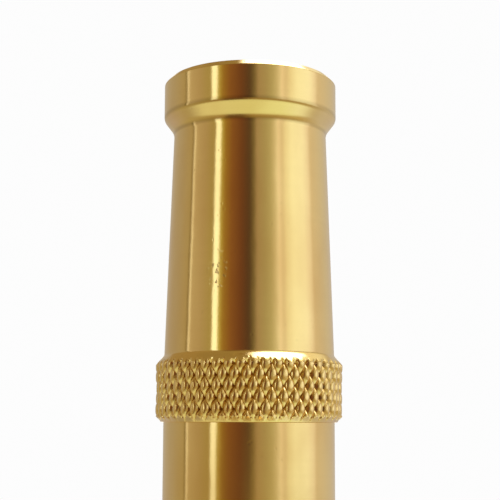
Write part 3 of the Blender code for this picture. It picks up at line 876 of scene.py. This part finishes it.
# The same below: a band under the horizon, the table, and its middle
UNDER_RING = (
    (-180, (0.54, 0.49, 0.50)),
    (-135, (0.50, 0.44, 0.44)),
    (-105, (0.48, 0.42, 0.26)),
    (-70, (0.44, 0.36, 0.18)),
    (-42, (0.40, 0.28, 0.11)),
    (-32, (0.18, 0.10, 0.04)),
    (-12, (0.18, 0.10, 0.04)),
    (6, (0.42, 0.30, 0.12)),
    (80, (0.56, 0.46, 0.24)),
    (125, (0.62, 0.60, 0.66)),
    (180, (0.54, 0.49, 0.50)),
)
TABLE_RING = (
    (-180, (0.44, 0.40, 0.34)),
    (-114, (0.42, 0.37, 0.30)),
    (-84, (0.78, 0.78, 0.57)),
    (0, (0.81, 0.86, 0.58)),
    (60, (0.94, 1.07, 0.82)),
    (92, (1.00, 1.12, 1.10)),
    (116, (0.66, 0.64, 0.60)),
    (180, (0.44, 0.40, 0.34)),
)
TABLE_MIDDLE = (0.54, 0.45, 0.24)

# Where each of these gives way to the next, as the height of a direction of length one
UPPER_FROM = (0.38, 0.50)
CEILING_FROM = (0.74, 0.86)
UNDER_FROM = (-0.05, -0.14)
TABLE_FROM = (-0.46, -0.62)
MIDDLE_FROM = (-0.90, -0.97)

# A pale window in the wall behind the object, as how far back and how far aside a direction points
WINDOW = (1.50, 1.42, 1.22)
WINDOW_BACK = (0.80, 0.90)
WINDOW_ASIDE = (0.19, 0.11)

# The softbox is an oval on a level plane one unit up, over the object and to its right, with a glow beyond
# it. Directions that rise less than LEAST_RISE count as if they rose that much.
LEAST_RISE = 0.05
SOFTBOX = (4.8, 4.9, 5.6)
SOFTBOX_MIDDLE = (0.31, 0.19, 0)
SOFTBOX_EDGE = (0.43, 0.31)
SOFTBOX_SQUEEZE = 0.7
GLOW = (1.05, 1.02, 0.84)
GLOW_EDGE = (1.5, 0.6)
GLOW_ASIDE = (0.1, 0.5)

BACKDROP = (0.98, 0.98, 0.98)

# The floor lies just under the object, and its colour is painted paler from the middle outwards: painted
# light that fades it into the white backdrop
FLOOR_Z = -0.1
FLOOR_RADIUS = 600
FLOOR_SEGMENTS = 128
PAPER_NEAR = (0.78, 0.79, 0.80, 1)
PAINTED_PALER_PAPER = (0.97, 0.98, 1.0, 1)
PAINTED_PAPER_FADE = (100, 550)


def colour_round(graph, share, colours):
    """A colour ramp over a share of a full turn, from colours by their degrees."""
    ramp = graph.node("ValToRGB", {0: share})
    stops = ramp.color_ramp.elements
    while len(stops) > 1:
        stops.remove(stops[-1])
    for i, (degrees, colour) in enumerate(colours):
        position = degrees / 360 + 0.5
        stop = stops[0] if i == 0 else stops.new(position)
        stop.position, stop.color = position, (*colour, 1)
    return ramp.outputs[0]


def build_world():
    world = bpy.data.worlds.new("studio")
    bpy.context.scene.world = world
    world.use_nodes = True
    world.node_tree.nodes.clear()
    graph = Graph(world.node_tree)
    direction = graph.node("TexCoord").outputs["Generated"]
    x, y, z = graph.node("SeparateXYZ", {0: direction}).outputs
    lit = add_softbox(graph, x, y, z, studio_walls(graph, x, y, z))
    seen = graph.node("LightPath").outputs["Is Camera Ray"]
    background = graph.node("Background", {"Color": graph.mix(seen, lit, (*BACKDROP, 1))})
    output = graph.node("OutputWorld")
    world.node_tree.links.new(background.outputs[0], output.inputs[0])


def studio_walls(graph, x, y, z):
    """The colour of the walls, the ceiling and the table in a direction."""
    azimuth = graph.math("ARCTAN2", x, graph.math("MULTIPLY", y, -1.0))
    turned = graph.math("ADD", graph.math("DIVIDE", azimuth, math.tau), 0.5)
    aside = graph.math("ABSOLUTE", x)
    in_window = graph.math("MULTIPLY", graph.ease(y, *WINDOW_BACK), graph.ease(aside, *WINDOW_ASIDE))
    walls = graph.mix(in_window, colour_round(graph, turned, STUDIO_RING), (*WINDOW, 1))
    walls = graph.mix(graph.ease(z, *UPPER_FROM), walls, colour_round(graph, turned, UPPER_RING))
    walls = graph.mix(graph.ease(z, *CEILING_FROM), walls, (*CEILING, 1))
    walls = graph.mix(graph.ease(z, *UNDER_FROM), walls, colour_round(graph, turned, UNDER_RING))
    walls = graph.mix(graph.ease(z, *TABLE_FROM), walls, colour_round(graph, turned, TABLE_RING))
    return graph.mix(graph.ease(z, *MIDDLE_FROM), walls, (*TABLE_MIDDLE, 1))


def add_softbox(graph, x, y, z, walls):
    above = graph.math("MAXIMUM", z, LEAST_RISE)
    along_x = graph.math("DIVIDE", x, above)
    along_y = graph.math("DIVIDE", y, above)
    squeezed = graph.math("MULTIPLY", along_y, SOFTBOX_SQUEEZE)
    place = graph.node("CombineXYZ", {0: along_x, 1: squeezed}).outputs[0]
    distance = graph.vector("DISTANCE", place, SOFTBOX_MIDDLE, output="Value")
    glow = graph.math("MULTIPLY", graph.ease(distance, *GLOW_EDGE), graph.ease(along_x, *GLOW_ASIDE))
    lit = graph.mix(glow, walls, (*GLOW, 1))
    return graph.mix(graph.ease(distance, *SOFTBOX_EDGE), lit, (*SOFTBOX, 1))


def build_floor():
    """A pale paper floor that runs out into the white backdrop. It takes the object's shadow but isn't
    mirrored in the brass, which mirrors the table tones of the studio instead."""
    shape = Shape()
    shape.turn([(0, FLOOR_Z), (FLOOR_RADIUS, FLOOR_Z)], FLOOR_SEGMENTS)
    floor = add_object("studio_floor", mesh_of(shape, "studio_floor"))
    floor.visible_glossy = False
    material, graph, shader, coordinates = new_material("floor_paper")
    from_middle = graph.vector("LENGTH", coordinates, output="Value")
    near, far = (value * MM for value in PAINTED_PAPER_FADE)
    # Painted light: the floor's colour pales outwards so that it fades into the white backdrop
    tone = graph.mix(graph.ease(from_middle, near, far), PAPER_NEAR, PAINTED_PALER_PAPER)
    material.node_tree.links.new(tone, shader.inputs["Base Color"])
    shader.inputs["Roughness"].default_value = 0.8
    shader.inputs["Specular IOR Level"].default_value = 0.1
    floor.data.materials.append(material)


def build_camera():
    data = bpy.data.cameras.new("camera")
    data.sensor_width = 36
    data.lens = 84.9
    data.shift_y = 0.03
    data.clip_start, data.clip_end = 0.01, 5
    camera = bpy.data.objects.new("camera", data)
    bpy.context.scene.collection.objects.link(camera)
    camera.location = Vector((0.15, -176.0, 49.7)) * MM
    camera.rotation_euler = (math.radians(90 + 7.7), math.radians(-0.2), 0)
    bpy.context.scene.camera = camera


# --- Assembly -----------------------------------------------------------------------------------------------


def build_pieces():
    # Creases with painted shade, each a height and its reach, and knurled bands with painted shade and
    # tarnish in their grooves
    barrel_creases = ((93.3, 0.5), (95.8, 0.6))
    barrel_band = (51.2, 58.2, 13.17, 13.55)
    nut_creases = ((16.8, 0.5),)
    nut_band = (4.2, 13.1, 16.1, 16.55)
    clean, handled, worn = (0.90, 0.67, 0.27), (0.88, 0.65, 0.27), (0.84, 0.62, 0.26)
    barrel_brass = brass("barrel_brass", clean, 0.15, 0.02, barrel_creases, barrel_band, nicks=True)
    stem_brass = brass("stem_brass", worn, 0.22, 0.06)
    nut_brass = brass("nut_brass", handled, 0.20, 0.05, nut_creases, nut_band)
    rubber = plain("black_rubber", (0.018, 0.018, 0.019), 0.0, 0.62, 900, 1.5e-5)
    ptfe = plain("white_ptfe", (0.84, 0.83, 0.80), 0.0, 0.45, 500, 4e-6)
    spring = plain("spring_steel", (0.46, 0.46, 0.45), 1.0, 0.34, 700, 3e-6)
    stainless = plain("stainless_steel", (0.60, 0.60, 0.58), 1.0, 0.28, 700, 3e-6)
    chrome = plain("ball_steel", (0.72, 0.72, 0.71), 1.0, 0.10, 300, 0.0)

    cone_seal = torus_mesh("cone_seal", 5.62, 84.6, 1.5)
    barrel_seal = torus_mesh("barrel_seal", 9.775, 58.72, 2.15)
    backup = ring_mesh("seal_backup", 8.7, 10.85, 56.4, 57.3, 0.12)
    washer = ring_mesh("hose_washer_ring", 8.0, 13.5, 11.9, 14.8, 0.45)
    rim = ring_mesh("strainer_rim", 6.8, 7.7, 12.6, 14.4, 0.3)

    piece("barrel_sleeve", barrel_mesh(), "barrel", "barrel", barrel_brass)
    piece("stop_snap_ring", stop_ring_mesh(), "stop_ring", "barrel", spring)
    piece("stem_tube", stem_mesh(), "stem", "stem", stem_brass)
    piece("valve_cone_plug", valve_cone_mesh(), "valve_cone", "stem", stem_brass)
    piece("cone_seal", cone_seal, "cone_o_ring", "stem", rubber)
    piece("barrel_seal", barrel_seal, "barrel_o_ring", "seal_carrier", rubber)
    piece("seal_backup", backup, "backup_ring", "seal_carrier", ptfe)
    piece("coupling_nut", swivel_nut_mesh(), "swivel_nut", "swivel_nut", nut_brass)
    piece("race_plug_screw", race_plug_mesh(), "race_plug", "swivel_nut", stainless)
    piece("hose_washer_ring", washer, "hose_washer", "swivel_nut", rubber)
    piece("strainer_rim", rim, "strainer", "swivel_nut", stainless)
    piece("strainer_screen", screen_mesh(), None, "swivel_nut", stainless)

    ball = ball_mesh()
    nodes = sorted(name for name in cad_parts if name.startswith("race_ball_"))
    for i, node in enumerate(nodes):
        place = polar(i * math.tau / len(nodes), RACE_RADIUS, RACE_HEIGHT)
        mesh = ball.copy()
        mesh.transform(Matrix.Translation(place * MM))
        piece(f"steel_{node[5:]}", mesh, node, "ball_set", chrome)


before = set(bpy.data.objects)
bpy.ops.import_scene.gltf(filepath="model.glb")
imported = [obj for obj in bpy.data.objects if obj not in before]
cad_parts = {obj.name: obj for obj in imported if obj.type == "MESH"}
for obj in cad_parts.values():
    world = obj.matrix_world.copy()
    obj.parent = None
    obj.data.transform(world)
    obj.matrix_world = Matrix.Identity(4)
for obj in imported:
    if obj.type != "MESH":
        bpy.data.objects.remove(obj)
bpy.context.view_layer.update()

build_world()
build_floor()
build_camera()
build_pieces()
bpy.context.scene.view_settings.view_transform = "Standard"
